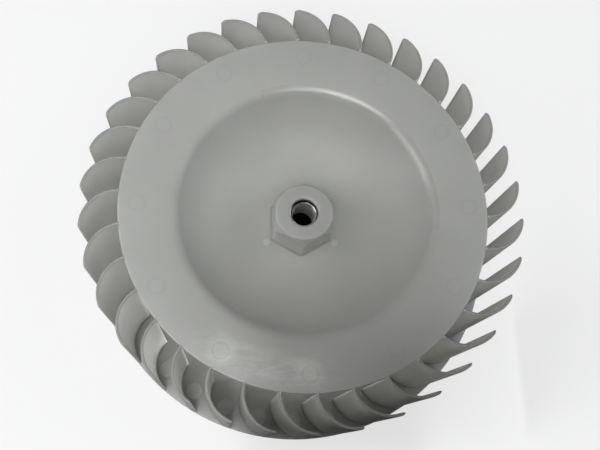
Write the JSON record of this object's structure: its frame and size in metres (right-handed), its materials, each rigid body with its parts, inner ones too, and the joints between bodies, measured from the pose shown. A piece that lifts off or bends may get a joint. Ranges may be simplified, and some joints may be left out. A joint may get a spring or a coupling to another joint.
{
  "type": "blower motor wheel",
  "caption": "Forward-curved centrifugal blower wheel of natural plastic with a dished backplate, hexagonal hub with a threaded steel insert, and a flat inlet ring.",
  "frame": {"origin": "centre of the inlet ring's outer face, which is what the wheel stands on", "axes": "+Z along the wheel's axis, from the inlet ring to the hub's nose"},
  "size_m": [0.2032, 0.2032, 0.0635],
  "materials": {
    "polypropylene": "natural, slightly glossy, translucent",
    "insert_steel": "bright machined thread"
  },
  "bodies": {
    "root": {"backplate": "polypropylene", "hub": "polypropylene", "inlet_ring": "polypropylene", "blade_01": "polypropylene", "blade_02": "polypropylene", "blade_03": "polypropylene", "blade_04": "polypropylene", "blade_05": "polypropylene", "blade_06": "polypropylene", "blade_07": "polypropylene", "blade_08": "polypropylene", "blade_09": "polypropylene", "blade_10": "polypropylene", "blade_11": "polypropylene", "blade_12": "polypropylene", "blade_13": "polypropylene", "blade_14": "polypropylene", "blade_15": "polypropylene", "blade_16": "polypropylene", "blade_17": "polypropylene", "blade_18": "polypropylene", "blade_19": "polypropylene", "blade_20": "polypropylene", "blade_21": "polypropylene", "blade_22": "polypropylene", "blade_23": "polypropylene", "blade_24": "polypropylene", "blade_25": "polypropylene", "blade_26": "polypropylene", "blade_27": "polypropylene", "blade_28": "polypropylene", "blade_29": "polypropylene", "blade_30": "polypropylene", "blade_31": "polypropylene", "blade_32": "polypropylene", "blade_33": "polypropylene", "blade_34": "polypropylene", "threaded_insert": "insert_steel"}
  },
  "joints": []
}
